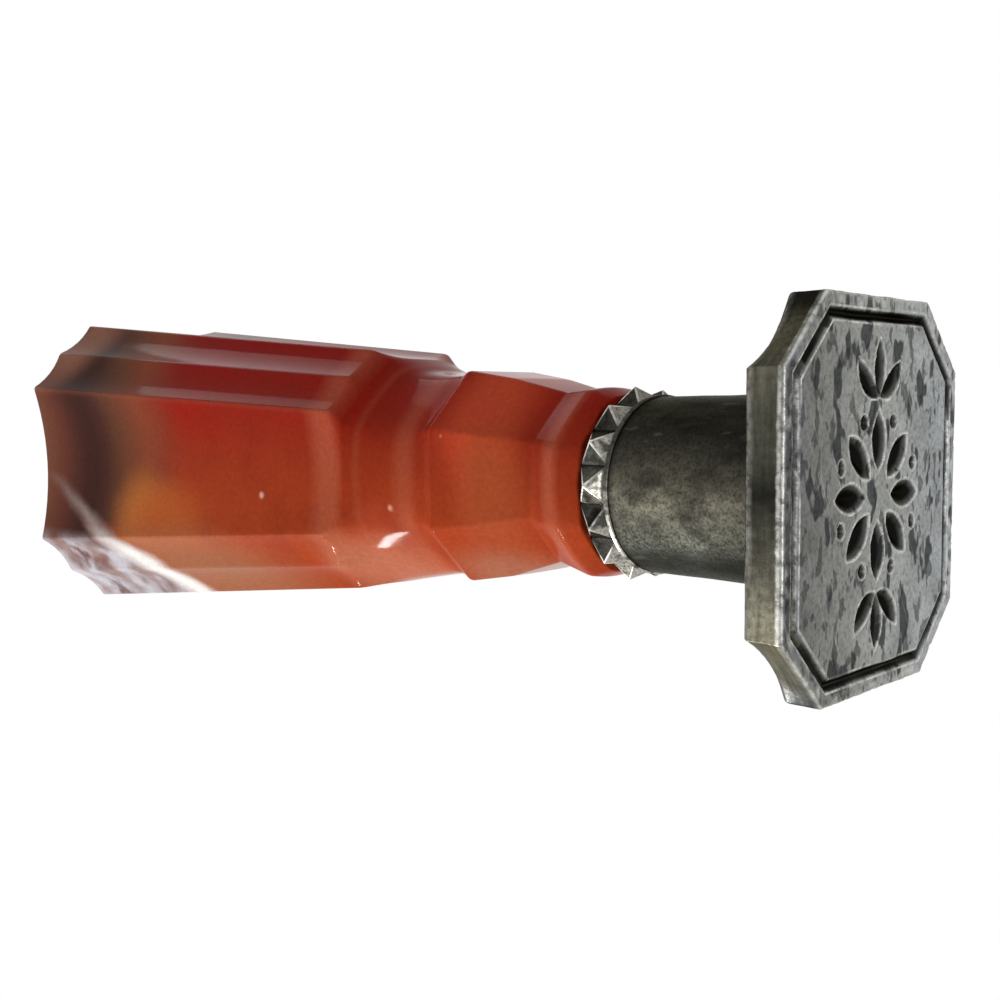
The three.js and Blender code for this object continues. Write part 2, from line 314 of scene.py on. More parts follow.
def handleRings():
    # every ring of the handle from the end of its tenon to its table, with its edge radius and whether it
    # is fluted and smoothed
    foot = handlePoints(handle["footCut"], handle["foot"])
    tenon = [Vector((p.x, p.y, 0)).normalized() * handle["tenonRadius"] for p in foot]
    rings = [
        ([Vector((p.x, p.y, handle["tenonEnd"])) for p in tenon], handle["footEdge"], False, False),
        ([Vector((p.x, p.y, handle["foot"])) for p in tenon], 0.0, False, False),
        (foot, handle["footEdge"], False, False),
    ]
    base, between = handle["foot"], 0
    for section in handle["sections"]:
        base += section["rise"]
        points = handlePoints(section, base)
        rings += [(ring, 0.0, False, True) for ring in ringsBetween(rings[-1][0], points, between)]
        rings.append((points, section.get("edge", 0.0), False, "edge" not in section))
        between = section.get("softRings", 0)
    foot, head = handle["fluteFoot"], handle["fluteHead"]
    base += foot["rise"]
    flute = foot["halfWidth"] / head["halfWidth"]
    rings.append((handlePoints(foot, base, flute, handle["footDip"]), foot["edge"], True, False))
    base += head["rise"]
    points = handlePoints(head, base, 1.0)
    rings += [(ring, 0.0, True, False) for ring in ringsBetween(rings[-1][0], points, handle["fluteRings"])]
    rings.append((points, head["edge"], True, False))
    inset = handle["tableInset"]
    table = {"halfWidth": head["halfWidth"] - inset, "panel": head["panel"] - inset * math.tan(math.pi / 8)}
    rings.append((handlePoints(table, base + handle["tableRise"], 1.0), head["edge"], True, False))
    return rings


def growRim(bm, loop, edges):
    # draws an open rim out once, and gives its new vertices in the same order, and their edges
    old = set(loop)
    grown = bmesh.ops.extrude_edge_only(bm, edges=edges)["geom"]
    partner = {}
    for vert in grown:
        if isinstance(vert, bmesh.types.BMVert):
            for edge in vert.link_edges:
                if edge.other_vert(vert) in old:
                    partner[edge.other_vert(vert)] = vert
    return [partner[v] for v in loop], [e for e in grown if isinstance(e, bmesh.types.BMEdge)]


def buildHandle(material):
    # drawn up ring by ring from a circle, and each ring is moved to its section
    rings = handleRings()
    bm = bmesh.new()
    weight = bm.edges.layers.float.new("bevel_weight_edge")
    lit, = pointLayers(bm, "lit")
    loop = bmesh.ops.create_circle(bm, segments=len(rings[0][0]), radius=1)["verts"]
    edges = list(bm.edges)
    bm.faces.new(loop)
    perSide = handle["wideSteps"] + 2 * handle["cornerSteps"]
    corners = {0, handle["wideSteps"]}
    ridge = handle["wideSteps"] + handle["cornerSteps"]
    softVerts = []
    below = None
    for points, radius, fluted, soft in rings:
        if below:
            loop, edges = growRim(bm, below, edges)
        for vert, point in zip(loop, points):
            vert.co = point
        for edge in edges:
            edge[weight] = radius
        if soft:
            softVerts += loop
        onStone = below and points[0].z > handle["foot"] + 1
        for index, vert in enumerate(loop):
            onCorner, onRidge = index % perSide in corners, index % perSide == ridge
            # the lit attribute marks the ridges where a highlight is painted
            if fluted:
                vert[lit] = 1.0 if onCorner else handle["ridgeLight"] * onRidge
            if onStone and (onCorner or onRidge and fluted):
                edge = bm.edges.get((vert, below[index]))
                edge[weight] = handle["ridgeRadius"] if fluted else handle["cornerRadius"]
        below = loop
    bm.faces.new(loop)
    for _ in range(handle["softRounds"]):
        bmesh.ops.smooth_vert(bm, verts=softVerts, factor=0.5, use_axis_x=True, use_axis_y=True,
                              use_axis_z=True)
    piece = finishPiece(bm, "carnelian_handle", material, "stone_handle")
    bevel = piece.modifiers.new("polished_edges", "BEVEL")
    bevel.limit_method = "WEIGHT"
    bevel.width = mm
    bevel.segments = handle["edgeSegments"]
    bevel.use_clamp_overlap = True
    normals = piece.modifiers.new("flat_panels", "WEIGHTED_NORMAL")
    normals.keep_sharp = True


carnelian = {  # noise scales are per mm, and a range is a noise or place from and to, and its share at each
    "warpNoise": {"Scale": 0.09, "Detail": 2.0},  # bands wander over about 11 mm
    "warp": 2.5,  # mm
    "body": [  # X in mm, colour: the stone's orange to deep red, with painted light: lighter on the -X side towards the lamps, darker and redder across from it
        (-11, "#983f20"), (-5, "#a5401e"), (1, "#94321a"), (5, "#901f12"), (10, "#88120c"),
    ],
    "cloudNoise": {"Scale": 0.16, "Detail": 3.0},
    "cloudRange": (0.45, 0.75, 0, 0.55),
    "cloudColour": "#7c2416",
    "bandBow": -0.03,  # 1/mm, how the bands curve across X
    "bandStart": (57.0, 63.0),  # mm, where the bands come in
    "bands": [  # height in mm, colour
        (61, "#823a27"), (63.4, "#813e28"), (66.3, "#6e3c29"), (67.9, "#643927"), (69.4, "#573324"),
        (71, "#462620"), (72.6, "#3c2019"), (74.3, "#3f201a"), (76, "#4d2820"), (77.7, "#5e3024"),
        (79.5, "#683a2a"), (83, "#74493a"),
    ],
    "bandFade": (-8.0, -5.0),  # X in mm where the bands fade out before the vein
    "zones": [  # X and height in mm of the middle, reach in X and height, colour
        ((-4.4, 64.2), (4.0, 4.6), "#ad6430"),
        ((-5.4, 60.0), (4.0, 6.0), "#b05527"),
        ((-9.0, 58.0), (4.0, 12.0), "#9b5f42"),
        ((5.0, 25.4), (6.0, 3.6), "#b8442a"),
        ((-1.0, 24.2), (5.0, 2.9), "#a64a2a"),
        ((-6.8, 36.5), (2.6, 5.0), "#b4664c"),
        ((-6.6, 24.5), (2.2, 4.5), "#a4634a"),
        ((11.5, 80.0), (3.5, 4.5), "#8a5a46"),
    ],
    "zoneFade": (1.4, 0.3),  # shares of the reach where a zone begins and is full
    "edgePower": 5.0,  # how close to a ridge the painted highlight stays
    "edgeShare": 0.22,  # how strong the painted highlight along a ridge is
    "paintedGlowColour": "#c4785a",
    "folds": [  # height in mm, share: painted glow and highlight lines beside the cuts
        (17.2, 0), (18.1, 0.02), (18.8, 0.24), (19.4, 0.22), (20.1, 0), (30.6, 0), (31.5, 0.17), (32.3, 0.17),
        (33.3, 0), (35.9, 0), (36.4, 0.1), (36.9, 0), (37.6, 0), (38.7, 0.25), (39.9, 0.25), (41.6, 0),
    ],
    "vein": {
        "lean": 1.92,
        "slant": 0.4,
        "height": 87.6,
        "rippleNoise": {"Scale": 0.25, "Detail": 4.0},
        "wander": 1.4,
        "blur": 0.85,
        "width": (-3.5, -8.0, 0.4, 1.0),  # half width in mm, by X
        "fade": (-0.5, -4.5),  # X
        "whiten": (-5.5, -8.0),  # X
        "colours": ("#97827b", "#e6e1dd"),
    },
    "cloudyEnd": {
        "from": (-6.0, -8.5),  # X
        "start": (0.2, 1.2),  # mm past the vein
        "hazeNoise": {"Scale": 0.3, "Detail": 2.0, "W": 3.0},
        "hazeRange": (0.38, 0.58),
        "hazeColours": ("#85706e", "#b9b4ba"),
        "mottleNoise": {"Scale": 0.3, "Detail": 4.0, "Distortion": 0.6},
        "mottleRange": (0.48, 0.8),
        "mottle": "#8f6a5c",
    },
    "inclusions": [  # place in mm, radius, colour
        ((-9.0, -10.9, 77.2), 1.6, "#6a403a"),
        ((-9.3, -10.2, 74.1), 1.2, "#7c5850"),
        ((-12.5, -7.4, 76.9), 1.7, "#67443f"),
        ((-1.7, -9.1, 47.3), 0.28, "#d8a08c"),
        ((-2.1, -7.2, 33.3), 0.32, "#e0a088"),
        ((3.1, -7.0, 28.0), 0.16, "#d89080"),
    ],
    "raggedNoise": {"Scale": 0.9, "Detail": 3.0},
    "ragged": 2.4,  # radii that the noise draws an inclusion's edge in
    "raggedEdge": 2.5,  # radii where an inclusion has faded out
    "grainNoise": {"Scale": 3.0, "Detail": 3.0},  # a fine grain of 0.3 mm
    "grainRange": (0.3, 0.7, 0.9, 1.08),
    "waveNoise": {"Scale": 0.35, "Detail": 1.0},  # the slow waves that a lap leaves
    "waveHeight": 0.02,  # mm
    "waveStrength": 0.5,
    "roughness": (0.3, 0.7, 0.05, 0.09),
    "ior": 1.065,
}


def stoneMaterial(name, finish):
    # carnelian, cut and polished on a wheel: deep red to amber with soft bands and one milky vein,
    # under a wet-looking gloss that stays weak, because the photographed stone mirrors little
    # Its colour also carries painted light: lighter on the side towards the lamps, with a painted glow beside
    # the cuts and painted highlights along the ridges.
    material, tree, shader = newMaterial(name)
    place = millimetres(tree)
    x, y, z = addNode(tree, "SeparateXYZ", [place]).outputs
    warp = addNode(tree, "TexNoise", {"Vector": place, **finish["warpNoise"]})
    centred = addNode(tree, "VectorMath", [warp.outputs["Color"], (0.5, 0.5, 0.5)], operation="SUBTRACT")
    moved = addNode(tree, "VectorMath", [centred, (finish["warp"],) * 3, place], operation="MULTIPLY_ADD")
    warped = addNode(tree, "SeparateXYZ", [moved]).outputs

    # body colour across X, partly painted light, and clouds in it
    share = addNode(tree, "MapRange", [warped["X"], *span(finish["body"])])
    colour = addNode(tree, "ValToRGB", [share], spread(finish["body"]))
    cloud = addNode(tree, "TexNoise", {"Vector": place, **finish["cloudNoise"]})
    share = addNode(tree, "MapRange", [cloud, *finish["cloudRange"]])
    colour = addNode(tree, "Mix", [share, colour, finish["cloudColour"]])

    # distance past the vein, which leans across the stone
    vein, end = finish["vein"], finish["cloudyEnd"]
    lift = addNode(tree, "Math", [x, -vein["lean"], z], operation="MULTIPLY_ADD")
    lift = addNode(tree, "Math", [y, -vein["slant"], lift], operation="MULTIPLY_ADD")
    steep = math.hypot(1, vein["lean"], vein["slant"])
    beyond = addNode(tree, "Math", [lift, 1 / steep, -vein["height"] / steep], operation="MULTIPLY_ADD")
    ripples = addNode(tree, "TexNoise", {"Vector": place, **vein["rippleNoise"]})
    rippled = addNode(tree, "Math", [ripples, vein["wander"], beyond], operation="MULTIPLY_ADD")
    distance = addNode(tree, "Math", [rippled, vein["wander"] / 2], operation="SUBTRACT")
    past = addNode(tree, "MapRange", [distance, *end["start"]])

    # bands by height, bowed across X, which come in above the body and stop short of the vein
    bow = addNode(tree, "Math", [x, x], operation="MULTIPLY")
    height = addNode(tree, "Math", [bow, finish["bandBow"], warped["Z"]], operation="MULTIPLY_ADD")
    share = addNode(tree, "MapRange", [height, *span(finish["bands"])])
    bands = addNode(tree, "ValToRGB", [share], spread(finish["bands"]))
    start = addNode(tree, "MapRange", [height, *finish["bandStart"]], **easing)
    kept = addNode(tree, "MapRange", [x, *finish["bandFade"]])
    kept = addNode(tree, "Math", [kept, past], operation="MAXIMUM")
    share = addNode(tree, "Math", [start, kept], operation="MULTIPLY")
    colour = addNode(tree, "Mix", [share, colour, bands])

    # lighter zones: amber before the dark band, orange in the block
    for middle, reach, tone in finish["zones"]:
        scales = (1 / reach[0], 0, 1 / reach[1])
        offset = (-middle[0] * scales[0], 0, -middle[1] * scales[2])
        away = addNode(tree, "VectorMath", [moved, scales, offset], operation="MULTIPLY_ADD")
        away = addNode(tree, "VectorMath", [away], operation="LENGTH")
        share = addNode(tree, "MapRange", [away, *finish["zoneFade"]], **easing)
        colour = addNode(tree, "Mix", [share, colour, tone])

    # painted glow in bands by height beside the cuts, and painted highlights along the ridges of the flutes
    share = addNode(tree, "MapRange", [z, *span(finish["folds"])])
    folds = addNode(tree, "ValToRGB", [share], spread(finish["folds"]))
    lit = addNode(tree, "Attribute", attribute_name="lit").outputs["Fac"]
    ridgeHighlight = addNode(tree, "Math", [lit, finish["edgePower"]], operation="POWER")
    ridgeHighlight = addNode(tree, "Math", [ridgeHighlight, finish["edgeShare"]], operation="MULTIPLY")
    for share in (folds, ridgeHighlight):
        colour = addNode(tree, "Mix", [share, colour, finish["paintedGlowColour"]])

    # cloudy grey end beyond the vein, mottled
    side = addNode(tree, "MapRange", [x, *end["from"]], **easing)
    haze = addNode(tree, "TexNoise", {"Vector": place, **end["hazeNoise"]}, noise_dimensions="4D")
    share = addNode(tree, "MapRange", [haze, *end["hazeRange"]])
    endColour = addNode(tree, "Mix", [share, *end["hazeColours"]])
    mottle = addNode(tree, "TexNoise", {"Vector": place, **end["mottleNoise"]})
    share = addNode(tree, "MapRange", [mottle, *end["mottleRange"]], **easing)
    endColour = addNode(tree, "Mix", [share, endColour, end["mottle"]])
    share = addNode(tree, "Math", [side, past], operation="MULTIPLY")
    colour = addNode(tree, "Mix", [share, colour, endColour])

    # milky vein: thin and grey on the front, wide and white at the corner
    width = addNode(tree, "MapRange", [x, *vein["width"]])
    reach = addNode(tree, "Math", [distance], operation="ABSOLUTE")
    reach = addNode(tree, "Math", [reach, width], operation="SUBTRACT")
    milky = addNode(tree, "MapRange", [reach, vein["blur"], -vein["blur"]], **easing)
    faded = addNode(tree, "MapRange", [x, *vein["fade"]])
    milky = addNode(tree, "Math", [milky, faded], operation="MULTIPLY")
    share = addNode(tree, "MapRange", [x, *vein["whiten"]])
    veinColour = addNode(tree, "Mix", [share, *vein["colours"]])
    colour = addNode(tree, "Mix", [milky, colour, veinColour])

    ragged = addNode(tree, "TexNoise", {"Vector": place, **finish["raggedNoise"]})
    for spot, radius, tone in finish["inclusions"]:
        gap = addNode(tree, "VectorMath", [place, spot], operation="DISTANCE")
        gap = addNode(tree, "Math", [ragged, radius * finish["ragged"], gap], operation="MULTIPLY_ADD")
        share = addNode(tree, "MapRange", [gap, radius * finish["raggedEdge"], radius], **easing)
        colour = addNode(tree, "Mix", [share, colour, tone])

    grain = addNode(tree, "TexNoise", {"Vector": place, **finish["grainNoise"]})
    tint = addNode(tree, "MapRange", [grain, *finish["grainRange"]])
    colour = addNode(tree, "VectorMath", [colour, tint], operation="SCALE")
    waves = addNode(tree, "TexNoise", {"Vector": place, **finish["waveNoise"]})
    bump = addNode(tree, "Bump", {"Strength": finish["waveStrength"], "Distance": finish["waveHeight"] * mm,
                                  "Height": waves})
    rough = addNode(tree, "MapRange", [cloud, *finish["roughness"]])
    fillInputs(shader, {"Base Color": colour, "Normal": bump, "Roughness": rough, "IOR": finish["ior"]})
    return material


buildHandle(stoneMaterial("polished_carnelian", carnelian))

print("stage: seal plate")

plate = {
    "length": 21.4,
    "width": 19.0,
    "thickness": 2.3,
    "cornerCut": 3.9,
    "cornerHollow": 0.5,
    "flatInset": 0.32,  # where the modelled face ends and its worn edge begins
    "edgeWear": 0.13,
    "edgeChips": 0.22,
    "backEdge": 0.35,
    "border": 0.75,
    "grooveWidth": 0.7,
    "grooveDepth": 0.38,
    "grid": 0.085,  # spacing of the points on the face
    "petals": 8,
    "petal": (1.35, 3.3, 1.55, 0.5),  # start, length, width, depth
    "dots": (4.3, 0.42, 0.4),  # circle, radius, depth
    "sprayStart": 5.3,
    "leaf": (3.2, 1.25, 0.45),
    "leafAngle": 48,
    "leafBend": 42,
    "leafSteps": 24,
    "ripples": {  # noise on the face: scale per mm, and its own layer
        "cutX": (0.9, 3.0), "cutY": (0.9, 7.0), "border": (0.35, 1.0), "groove": (0.3, 5.0),
        "burr": (1.3, 2.0), "fineBurr": (4.0, 6.0), "chatter": (1.6, 9.0), "level": (0.5, 4.0),
        "filling": (0.5, 12.0), "speckle": (2.4, 8.0), "rub": (1.1, 14.0),
    },
    "cutWander": 0.05,
    "borderWander": 0.06,
    "grooveUneven": 0.35,  # share of its depth
    "burr": 0.085,
    "burrWidth": 0.03,
    "burrRough": (0.4, 0.7, 0.4),  # share, and how much coarse and fine noise changes it
    "burrBright": (0.6, 2),  # share, and how much more where it is rough: bright worn metal with a painted highlight
    "grooveBurr": 0.9,  # share of its depth
    "chatter": 0.02,
    "chatterFrom": 0.04,  # depth of the cut
    "chatterStretch": (0.3, 3.0),
    "unevenFace": 0.012,
    "pits": 90,
    "pitArea": (10, 9),
    "pitRadius": (0.06, 0.16),
    "pitDepth": (0.02, 0.07),
    "pitStretch": 1.8,
    "pitFilled": 0.12,  # depth
    "seed": 11,
    "cutPatina": [(0.015, 0.05, 0.8), (0.15, 0.12, 0.2)],  # depth where it starts, reach, share
    "groovePatina": (0.03, 0.1),
    "grooveFilled": (0.85, 0.35, 0.25),  # share, how much less along the near side, how uneven
    "nearSide": 2,
    "speckle": (3, 0.9, 0.75),  # contrast, threshold, darkest
    "rub": (2, 0.3, 0.5),  # contrast, how much more along the far side, brightest
    "rubLine": (6, 0.1),  # where the far side starts, and the way in from the groove
    "sideRings": [  # height, how bright it is: rubbed wear, low on the side also a painted highlight
        (0.1, 0.5), (0.2, 0.45), (0.32, 0), (0.8, 0), (1.1, 0), (1.4, 0), (1.7, 0),
    ],
    "sideUneven": [(0.05, 0.45), (0.02, 2.2)],  # depth, scale per mm
    "chipNoise": ((1, 2.34), (0.25, 6.3)),  # share, scale per mm
    "chipPatches": (0.6, 0.36),  # share, scale per mm
    "sideFrom": 0.2,  # height above the worn edge
    "cornerShade": 0.45,  # painted shade on the cut corners at +X, the side turned from the lamps
    "cornerRubbed": 0.3,
}


def edgeDistance(x, y):
    # how far a point of the face lies inside the plate's outline
    halfLength, halfWidth = plate["length"] / 2, plate["width"] / 2
    diagonal = (halfLength + halfWidth - plate["cornerCut"] - abs(x) - abs(y)) / math.sqrt(2)
    return np.minimum(np.minimum(halfLength - abs(x), halfWidth - abs(y)), diagonal)


def ripple(x, y, kind):
    # smooth noise from -1 to 1 at points of the face
    scale, layer = plate["ripples"][kind]
    points = zip(np.ravel(x) * scale, np.ravel(y) * scale)
    return np.array([noise.noise((a, b, layer)) for a, b in points]).reshape(np.shape(x))


def leafCones(start, angle, bend, length, width, depth):
    # a leaf cut is the hollow that a pointed tool leaves along a bent line
    steps = plate["leafSteps"]
    cones = []
    spot = Vector((start * math.cos(angle[0]), start * math.sin(angle[0])))
    for step in range(steps + 1):
        share = step / steps
        cones.append((spot.x, spot.y, depth * math.sin(math.pi * share), width / 2 / depth))
        heading = angle[1] + math.radians(bend) * (share - 0.5)
        spot = spot + Vector((math.cos(heading), math.sin(heading))) * length / steps
    return cones


def ornamentCones():
    cones = []
    start, length, width, depth = plate["petal"]
    circle, radius, reach = plate["dots"]
    for petal in range(plate["petals"]):
        angle = 2 * math.pi * petal / plate["petals"]
        cones += leafCones(start, (angle, angle), 0, length, width, depth)
        middle = angle + math.pi / plate["petals"]
        cones.append((circle * math.cos(middle), circle * math.sin(middle), reach, radius / reach))
    for end in (0, math.pi):
        for side in (-1, 0, 1):
            heading = end + math.radians(side * plate["leafAngle"])
            cones += leafCones(plate["sprayStart"], (end, heading), -side * plate["leafBend"], *plate["leaf"])
    return cones


def faceRelief(x, y):
    # depth of the face at each point, and how dark and how bright it is
    cutX = x + plate["cutWander"] * ripple(x, y, "cutX")
    cutY = y + plate["cutWander"] * ripple(x, y, "cutY")
    cut = np.full(np.shape(x), -9.0)
    for centreX, centreY, depth, slope in ornamentCones():
        cut = np.maximum(cut, depth - np.hypot(cutX - centreX, cutY - centreY) / slope)
    inset = edgeDistance(x, y) + plate["borderWander"] * ripple(x, y, "border")
    half = plate["grooveWidth"] / 2
    groove = 1 - abs(inset - plate["border"] - half) / half
    groove = groove * plate["grooveDepth"] * (1 + plate["grooveUneven"] * ripple(x, y, "groove"))
    draw = np.random.default_rng(plate["seed"])
    pits = np.full(np.shape(x), -9.0)
    reachX, reachY = plate["pitArea"]
    for _ in range(plate["pits"]):
        spotX, spotY = draw.uniform(-reachX, reachX), draw.uniform(-reachY, reachY)
        radius, depth = draw.uniform(*plate["pitRadius"]), draw.uniform(*plate["pitDepth"])
        away = np.hypot(x - spotX, (y - spotY) * plate["pitStretch"])
        pits = np.maximum(pits, depth * (1 - away / radius))

    # the tool throws up a burr beside a cut, and chatters in it
    edge = np.maximum(cut, groove * plate["grooveBurr"])
    lip = np.exp(-((edge + plate["burrWidth"]) / plate["burrWidth"]) ** 2)
    share, coarse, fine = plate["burrRough"]
    rough = np.clip(share + coarse * ripple(x, y, "burr") + fine * ripple(x, y, "fineBurr"), 0, 1)
    raised = plate["burr"] * lip * rough * (cut > groove)
    along, across = plate["chatterStretch"]
    chatter = plate["chatter"] * ripple(x * along, y * across, "chatter") * (cut > plate["chatterFrom"])
    level = plate["unevenFace"] * ripple(x, y, "level")
    height = np.maximum(np.maximum(np.maximum(cut, groove), pits), 0) + level - raised + chatter

    # dirt fills the cuts, most of the groove and the pits, and speckles the border
    patinaAndShade = sum(share * np.clip((cut - start) / reach, 0, 1) for start, reach, share in plate["cutPatina"])
    start, reach = plate["groovePatina"]
    filled, cleaner, mottled = plate["grooveFilled"]
    near = y < plate["nearSide"] - plate["width"] / 2
    filled = filled - cleaner * near + mottled * ripple(x, y, "filling")
    patinaAndShade = np.maximum(patinaAndShade, np.clip((groove - start) / reach, 0, 1) * np.clip(filled, 0, 1))
    contrast, threshold, darkest = plate["speckle"]
    speckled = np.clip(ripple(x, y, "speckle") * contrast - threshold, 0, darkest)
    speckled = (inset < plate["border"]) * speckled
    patinaAndShade = np.maximum(np.maximum(patinaAndShade, np.clip(pits / plate["pitFilled"], 0, 1)), speckled)
    contrast, more, brightest = plate["rub"]
    farSide, wayIn = plate["rubLine"]
    rubbed = np.clip(ripple(x, y, "rub") * contrast + more * (y > farSide), 0, 1)
    rubbed = brightest * (inset < plate["border"] - wayIn) * rubbed
    # bright on the burrs and the rubbed border: worn metal, with painted highlights on the burrs
    share, more = plate["burrBright"]
    return height, patinaAndShade, np.clip(np.maximum(lip * (share + more * rough), rubbed), 0, 1)


def outlineCorners(inset):
    halfLength, halfWidth = plate["length"] / 2 - inset, plate["width"] / 2 - inset
    cut = plate["cornerCut"] - inset * (2 - math.sqrt(2))
    corners = []
    for signX, signY in ((1, 1), (-1, 1), (-1, -1), (1, -1)):
        onEnd = Vector((signX * halfLength, signY * (halfWidth - cut)))
        onSide = Vector((signX * (halfLength - cut), signY * halfWidth))
        corners += [onEnd, onSide] if signX * signY > 0 else [onSide, onEnd]
    return corners


def outlinePoint(side, share, inset, hollow=0.0):
    # cut corners are the even sides, and are filed hollow
    corners = outlineCorners(inset)
    start, end = corners[side], corners[(side + 1) % 8]
    point = start.lerp(end, share)
    if side % 2 == 0:
        point -= point.normalized() * hollow * 4 * share * (1 - share)
    return point


def outlinePlace(x, y, inset):
    # side of the outline that a point of it lies on, and how far along
    corners = outlineCorners(inset)
    best = None
    for side in range(8):
        start, end = corners[side], corners[(side + 1) % 8]
        along = end - start
        share = clamp((Vector((x, y)) - start).dot(along) / along.length_squared)
        gap = (start.lerp(end, share) - Vector((x, y))).length
        if best is None or gap < best[0] - 1e-6:
            best = (gap, side, share)
    return best[1], best[2]


def edgeRings():
    # rings from the face round its worn edge, up the side and over the back edge. Each has its inset and
    # height as shares of the wear, then its own inset and height, and how bright it is: rubbed wear, and low
    # on the side a painted highlight.
    back = plate["backEdge"]
    top = plate["thickness"] - back
    rings = []
    for angle, bright in ((0, 0.2), (22.5, 0.6), (45, 0.6), (67.5, 0.6), (90, 0.2)):
        turn = math.radians(angle)
        rings.append((1 - math.sin(turn), 1 - math.cos(turn), 0, 0, bright))
    for level, bright in plate["sideRings"] + [(top, 0.15)]:
        rings.append((0, 0, 0, level, bright))
    for angle in (30, 60, 90):
        turn = math.radians(angle)
        rings.append((0, 0, back * (1 - math.cos(turn)), top + back * math.sin(turn), 0.3))
    return rings


def buildPlate(material):
    inset = plate["flatInset"]
    length, width = plate["length"] - 2 * inset, plate["width"] - 2 * inset
    bm = bmesh.new()
    patinaAndShadeLayer, wornLayer = pointLayers(bm, "patinaAndShade", "worn")
    columns, rows = round(length / plate["grid"]), round(width / plate["grid"])
    bmesh.ops.create_grid(bm, x_segments=columns, y_segments=rows, size=0.5)
    bmesh.ops.scale(bm, vec=(length, width, 1), verts=bm.verts)
    corners = outlineCorners(inset)
    for side in (0, 2, 4, 6):
        middle = (corners[side] + corners[side + 1]) / 2
        outward = (corners[side + 1] - corners[side]).normalized()
        outward = Vector((outward.y, -outward.x, 0))
        bmesh.ops.bisect_plane(bm, geom=bm.verts[:] + bm.edges[:] + bm.faces[:], dist=0.0001,
                               plane_co=(middle.x, middle.y, 0), plane_no=outward, clear_outer=True)
    verts = list(bm.verts)
    x = np.array([v.co.x for v in verts])
    y = np.array([v.co.y for v in verts])
    for vert, height, dark, bright in zip(verts, *faceRelief(x, y)):
        vert.co.z = height
        vert[patinaAndShadeLayer] = dark
        vert[wornLayer] = bright

    edges = [e for e in bm.edges if e.is_boundary]
    loop = list({v for e in edges for v in e.verts})
    places = [outlinePlace(v.co.x, v.co.y, inset) for v in loop]
    wear = []
    share, scale = plate["chipPatches"]
    for vert in loop:
        chip = max(0, sum(depth * noise.noise(vert.co * fine) for depth, fine in plate["chipNoise"]))
        wear.append(plate["edgeWear"] + plate["edgeChips"] * chip * (share + noise.noise(vert.co * scale)))
    top, sideFrom = plate["thickness"] - plate["backEdge"], plate["sideFrom"]
    for wearInset, wearHeight, ownInset, ownHeight, bright in edgeRings():
        loop, edges = growRim(bm, loop, edges)
        for vert, (side, share), own in zip(loop, places, wear):
            height = max(own * wearHeight, ownHeight + (own if ownHeight and ownHeight < 0.5 else 0))
            hollow = plate["cornerHollow"] * clamp((height - sideFrom) / (top - sideFrom))
            point = outlinePoint(side, share, own * wearInset + ownInset, hollow)
            spot = Vector((point.x, point.y, height))
            uneven = sum(depth * noise.noise(spot * scale) for depth, scale in plate["sideUneven"])
            point = point * (1 + uneven / point.length)
            vert.co = (point.x, point.y, min(height, plate["thickness"]))
            # painted shade on the cut corners at +X
            onCorner = side % 2 == 0 and height > sideFrom
            vert[patinaAndShadeLayer] = plate["cornerShade"] if onCorner and point.x > 0 else 0.0
            vert[wornLayer] = bright * (plate["cornerRubbed"] if onCorner else 1)
    bmesh.ops.edgeloop_fill(bm, edges=edges)
    finishPiece(bm, "engraved_seal_plate", material, "seal_plate")


tarnish = {  # what every silver piece shares: noise scales are per mm
    "cloudNoise": {"Scale": 0.3, "Detail": 4.0, "Roughness": 0.6},
    "cloudRange": (0.3, 0.7, 0.75, 1.25),
    "spotNoise": {"Roughness": 0.5, "Detail": 2.0},
    "spotLayers": [(1.0, 0.85), (2.2, 0.6)],  # scale, share
    "spotTurn": 0.12,  # rad
    "fineNoise": {"Detail": 5.0, "Roughness": 0.65},
    "fineRange": (0.45, 0.75, 0),
    "streakNoise": {"Scale": 1.0, "Detail": 2.0},
    "streakRange": (0.62, 0.74, 0),
    "brightStreaks": 0.8,
    "darkStreaks": 1.3,
    "darkTurn": -0.7,  # rad
    "sideNoise": {"Scale": 0.9, "Detail": 5.0, "Roughness": 0.65},
    "sideStretch": (0.35, 0.35, 2.2),
    "sideRange": (0.3, 0.7, 0.55, 1.5),
    "sideStart": (0.1, 0.25),  # mm above the face
    "wornNoise": {"Scale": 1.7, "Detail": 4.0, "Roughness": 0.7},
    "wornRange": (0.38, 0.56, 0.2),
    "grainHeight": 0.03,  # mm
    "grainStrength": 0.4,
}

plateFinish = {
    "along": "Y",  # tone across the face in mm: tarnish with a painted light gradient, darker along the near edge and lighter towards +Y
    "tones": [
        (-9.5, "#4c4d51"), (-8.75, "#58595c"), (-8.45, "#77787a"), (-7, "#7d7e7a"), (0, "#a3a5a2"),
        (9, "#a9adb0"),
    ],
    "sideTones": [  # sides, by X in mm: tarnish with painted light and shade
        (-10.7, "#4c4e50"), (-7.5, "#716d5d"), (-3.5, "#514f45"), (0.5, "#1e1e19"), (3.5, "#44433b"),
        (7, "#58564a"), (10, "#1c1c1a"),
    ],
    "dark": "#131312",
    "fineScale": 3.2,  # per mm
    "fineShare": 0.5,
    "blotch": "#33363b",
    "blotchScale": 0.62,  # per mm
    "blotchStretch": (0.5, 1.0, 1.0),
    "blotchRange": (0.57, 0.6, 0),
    "streakStretch": (0.12, 4.0, 1.5),
    "streakTurn": 0.45,  # rad
    "streakShare": 0.3,
    "bright": "#dcdbd4",
    "glance": "#bebcb6",  # tarnish dulls the mirror that metal turns to at a glancing angle
    "roughness": (0.3, 0.7, 0.24, 0.46),
}


